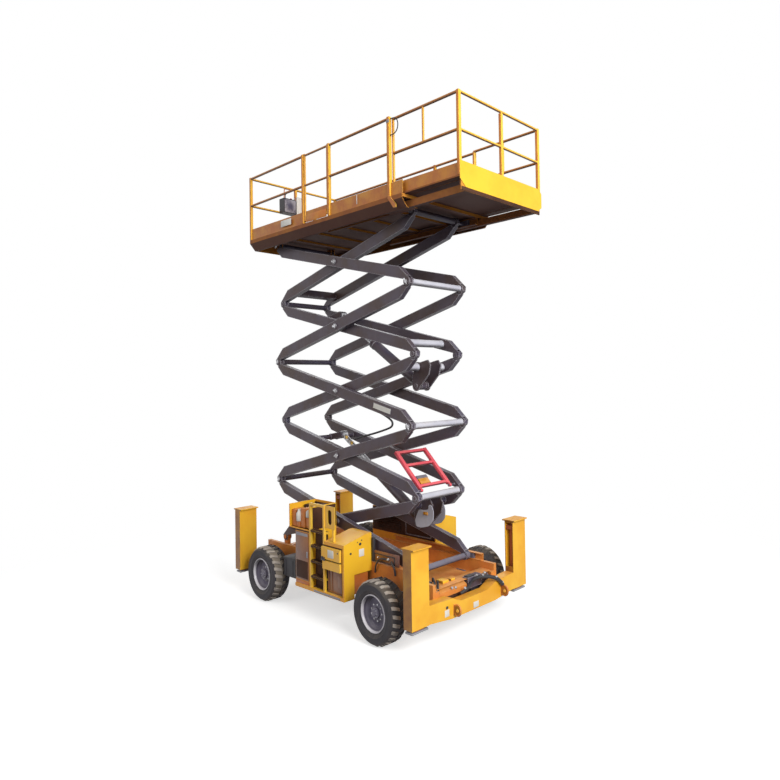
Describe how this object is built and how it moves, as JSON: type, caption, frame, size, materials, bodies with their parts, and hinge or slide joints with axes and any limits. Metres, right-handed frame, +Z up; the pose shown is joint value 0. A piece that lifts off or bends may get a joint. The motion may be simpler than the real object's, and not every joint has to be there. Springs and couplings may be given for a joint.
{
  "type": "five-stack rough-terrain scissor lift",
  "caption": "Diesel scissor lift with five stacks of arms, part raised: stabiliser columns, lugged tyres, side pods, railed platform with gate and roll-out deck.",
  "frame": {"origin": "on the ground, under the middle of the machine's overall length and width", "axes": "+X toward the end that the deck extension rolls out of, +Y toward the engine side, +Z up"},
  "size_m": [5.1851, 2.255, 7.0163],
  "materials": {
    "yellow_paint": "satin yellow enamel",
    "dark_paint": "satin dark grey enamel",
    "red_paint": "satin red enamel",
    "bright_steel": "bare machined steel",
    "rim_grey": "satin grey enamel",
    "tyre_rubber": "dusty black rubber",
    "black_plastic": "matt black plastic",
    "cast_block": "cast engine block"
  },
  "bodies": {
    "chassis": {"chassis_frame": "yellow_paint", "end_frames": "yellow_paint", "front_axle": "dark_paint", "rear_axle": "dark_paint", "near_pod": "yellow_paint", "side_cabinet": "yellow_paint", "side_tank": "dark_paint", "access_ladder": "yellow_paint", "ground_control_box": "yellow_paint", "far_pod": "yellow_paint", "engine": "cast_block", "hydraulic_unit": "dark_paint"},
    "inner_stack_1": {"inner_frame_1": "dark_paint"},
    "outer_stack_1": {"outer_frame_1": "dark_paint"},
    "inner_stack_2": {"inner_frame_2": "dark_paint"},
    "outer_stack_2": {"outer_frame_2": "dark_paint"},
    "inner_stack_3": {"inner_frame_3": "dark_paint"},
    "outer_stack_3": {"outer_frame_3": "dark_paint"},
    "inner_stack_4": {"inner_frame_4": "dark_paint"},
    "outer_stack_4": {"outer_frame_4": "dark_paint"},
    "inner_stack_5": {"inner_frame_5": "dark_paint"},
    "outer_stack_5": {"outer_frame_5": "dark_paint"},
    "base_slide": {"base_slider": "dark_paint"},
    "top_slide": {"top_slider": "dark_paint"},
    "prop": {"lift_prop": "red_paint"},
    "barrel_lower": {"lift_barrel_lower": "dark_paint"},
    "rod_lower": {"lift_rod_lower": "bright_steel"},
    "barrel_upper": {"lift_barrel_upper": "dark_paint"},
    "rod_upper": {"lift_rod_upper": "bright_steel"},
    "platform": {"platform_deck": "yellow_paint", "platform_rails": "yellow_paint", "platform_control_box": "black_plastic"},
    "gate": {"gate": "yellow_paint"},
    "extension": {"extension_deck": "yellow_paint", "extension_rails": "yellow_paint", "extension_end": "yellow_paint"},
    "jack_front_near": {"jack_front_near": "yellow_paint"},
    "wheel_front_near": {"tyre_front_near": "tyre_rubber", "rim_front_near": "rim_grey"},
    "jack_front_far": {"jack_front_far": "yellow_paint"},
    "wheel_front_far": {"tyre_front_far": "tyre_rubber", "rim_front_far": "rim_grey"},
    "jack_rear_near": {"jack_rear_near": "yellow_paint"},
    "wheel_rear_near": {"tyre_rear_near": "tyre_rubber", "rim_rear_near": "rim_grey"},
    "jack_rear_far": {"jack_rear_far": "yellow_paint"},
    "wheel_rear_far": {"tyre_rear_far": "tyre_rubber", "rim_rear_far": "rim_grey"},
    "knuckle_near": {"knuckle_near": "dark_paint"},
    "knuckle_far": {"knuckle_far": "dark_paint"}
  },
  "joints": [
    {"name": "lift", "type": "hinge", "parent": "chassis", "child": "inner_stack_1", "pos_m": [-2.04665, 0, 0.84], "axis": [0, -1, 0], "range_deg": [-13.32, 43.3]},
    {"name": "centre_pins_1", "type": "hinge", "parent": "inner_stack_1", "child": "outer_stack_1", "pos_m": [-0.38004, 0, 1.34], "axis": [0, -1, 0], "range_deg": [-86.6, 26.64]},
    {"name": "inner_end_pins_1", "type": "hinge", "parent": "inner_stack_1", "child": "inner_stack_2", "pos_m": [1.28658, 0, 1.84], "axis": [0, -1, 0], "range_deg": [-86.6, 26.64]},
    {"name": "centre_pins_2", "type": "hinge", "parent": "inner_stack_2", "child": "outer_stack_2", "pos_m": [-0.38004, 0, 2.34], "axis": [0, -1, 0], "range_deg": [-26.64, 86.6]},
    {"name": "inner_end_pins_2", "type": "hinge", "parent": "inner_stack_2", "child": "inner_stack_3", "pos_m": [-2.04665, 0, 2.84], "axis": [0, -1, 0], "range_deg": [-26.64, 86.6]},
    {"name": "centre_pins_3", "type": "hinge", "parent": "inner_stack_3", "child": "outer_stack_3", "pos_m": [-0.38004, 0, 3.34], "axis": [0, -1, 0], "range_deg": [-86.6, 26.64]},
    {"name": "inner_end_pins_3", "type": "hinge", "parent": "inner_stack_3", "child": "inner_stack_4", "pos_m": [1.28658, 0, 3.84], "axis": [0, -1, 0], "range_deg": [-86.6, 26.64]},
    {"name": "centre_pins_4", "type": "hinge", "parent": "inner_stack_4", "child": "outer_stack_4", "pos_m": [-0.38004, 0, 4.34], "axis": [0, -1, 0], "range_deg": [-26.64, 86.6]},
    {"name": "inner_end_pins_4", "type": "hinge", "parent": "inner_stack_4", "child": "inner_stack_5", "pos_m": [-2.04665, 0, 4.84], "axis": [0, -1, 0], "range_deg": [-26.64, 86.6]},
    {"name": "centre_pins_5", "type": "hinge", "parent": "inner_stack_5", "child": "outer_stack_5", "pos_m": [-0.38004, 0, 5.34], "axis": [0, -1, 0], "range_deg": [-86.6, 26.64]},
    {"name": "base_slide_pin", "type": "hinge", "parent": "outer_stack_1", "child": "base_slide", "pos_m": [1.28658, 0, 0.84], "axis": [0, -1, 0], "range_deg": [-13.32, 43.3]},
    {"name": "top_slide_pin", "type": "hinge", "parent": "inner_stack_5", "child": "top_slide", "pos_m": [1.28658, 0, 5.84], "axis": [0, -1, 0], "range_deg": [-43.3, 13.32]},
    {"name": "platform_pin", "type": "hinge", "parent": "outer_stack_5", "child": "platform", "pos_m": [-2.04665, 0, 5.84], "axis": [0, -1, 0], "range_deg": [-13.32, 43.3]},
    {"name": "prop_pin", "type": "hinge", "parent": "inner_stack_2", "child": "prop", "pos_m": [1.21658, 0, 1.92], "axis": [0, -1, 0], "range_deg": [-129.9, 39.96]},
    {"name": "cylinder_foot_lower", "type": "hinge", "parent": "inner_stack_1", "child": "barrel_lower", "pos_m": [0.95038, 0, 1.39461], "axis": [0, -1, 0], "range_deg": [-80.11, 24.64]},
    {"name": "cylinder_rod_lower", "type": "slide", "parent": "barrel_lower", "child": "rod_lower", "axis": [-0.8503, 0, 0.5262], "range_m": [-0.21621, 0.70284]},
    {"name": "cylinder_foot_upper", "type": "hinge", "parent": "inner_stack_3", "child": "barrel_upper", "pos_m": [0.95038, 0, 3.39461], "axis": [0, -1, 0], "range_deg": [-80.11, 24.64]},
    {"name": "cylinder_rod_upper", "type": "slide", "parent": "barrel_upper", "child": "rod_upper", "axis": [-0.8503, 0, 0.5262], "range_m": [-0.21621, 0.70284]},
    {"name": "jack_front_near", "type": "slide", "parent": "chassis", "child": "jack_front_near", "axis": [0, 0, -1], "range_m": [0, 0.42]},
    {"name": "jack_front_far", "type": "slide", "parent": "chassis", "child": "jack_front_far", "axis": [0, 0, -1], "range_m": [0, 0.42]},
    {"name": "jack_rear_near", "type": "slide", "parent": "chassis", "child": "jack_rear_near", "axis": [0, 0, -1], "range_m": [0, 0.42]},
    {"name": "jack_rear_far", "type": "slide", "parent": "chassis", "child": "jack_rear_far", "axis": [0, 0, -1], "range_m": [0, 0.42]},
    {"name": "steer_near", "type": "hinge", "parent": "chassis", "child": "knuckle_near", "pos_m": [1.15335, -0.745, 0.427], "axis": [0, 0, 1], "range_deg": [-28, 28]},
    {"name": "steer_far", "type": "hinge", "parent": "chassis", "child": "knuckle_far", "pos_m": [1.15335, 0.745, 0.427], "axis": [0, 0, 1], "range_deg": [-28, 28]},
    {"name": "roll_front_near", "type": "hinge", "parent": "knuckle_near", "child": "wheel_front_near", "pos_m": [1.15335, -0.98, 0.427], "axis": [0, 1, 0], "continuous": true},
    {"name": "roll_front_far", "type": "hinge", "parent": "knuckle_far", "child": "wheel_front_far", "pos_m": [1.15335, 0.98, 0.427], "axis": [0, 1, 0], "continuous": true},
    {"name": "roll_rear_near", "type": "hinge", "parent": "chassis", "child": "wheel_rear_near", "pos_m": [-1.66665, -0.98, 0.427], "axis": [0, 1, 0], "continuous": true},
    {"name": "roll_rear_far", "type": "hinge", "parent": "chassis", "child": "wheel_rear_far", "pos_m": [-1.66665, 0.98, 0.427], "axis": [0, 1, 0], "continuous": true},
    {"name": "gate_hinge", "type": "hinge", "parent": "platform", "child": "gate", "pos_m": [-0.71365, -0.843, 6.235], "axis": [0, 0, 1], "range_deg": [0, 90]},
    {"name": "extension_slide", "type": "slide", "parent": "platform", "child": "extension", "axis": [1, 0, 0], "range_m": [-0.99, 0.25]}
  ],
  "couplings": [
    {"joint": "centre_pins_1", "follows": "lift", "ratio": -2},
    {"joint": "inner_end_pins_1", "follows": "lift", "ratio": -2},
    {"joint": "centre_pins_2", "follows": "lift", "ratio": 2},
    {"joint": "inner_end_pins_2", "follows": "lift", "ratio": 2},
    {"joint": "centre_pins_3", "follows": "lift", "ratio": -2},
    {"joint": "inner_end_pins_3", "follows": "lift", "ratio": -2},
    {"joint": "centre_pins_4", "follows": "lift", "ratio": 2},
    {"joint": "inner_end_pins_4", "follows": "lift", "ratio": 2},
    {"joint": "centre_pins_5", "follows": "lift", "ratio": -2},
    {"joint": "base_slide_pin", "follows": "lift", "ratio": 1},
    {"joint": "top_slide_pin", "follows": "lift", "ratio": -1},
    {"joint": "platform_pin", "follows": "lift", "ratio": 1},
    {"joint": "prop_pin", "follows": "lift", "ratio": -3},
    {"joint": "cylinder_foot_lower", "follows": "lift", "ratio": -1.85},
    {"joint": "cylinder_rod_lower", "follows": "lift", "m_per_rad": 0.93},
    {"joint": "cylinder_foot_upper", "follows": "lift", "ratio": -1.85},
    {"joint": "cylinder_rod_upper", "follows": "lift", "m_per_rad": 0.93},
    {"joint": "steer_far", "follows": "steer_near", "ratio": 1}
  ]
}
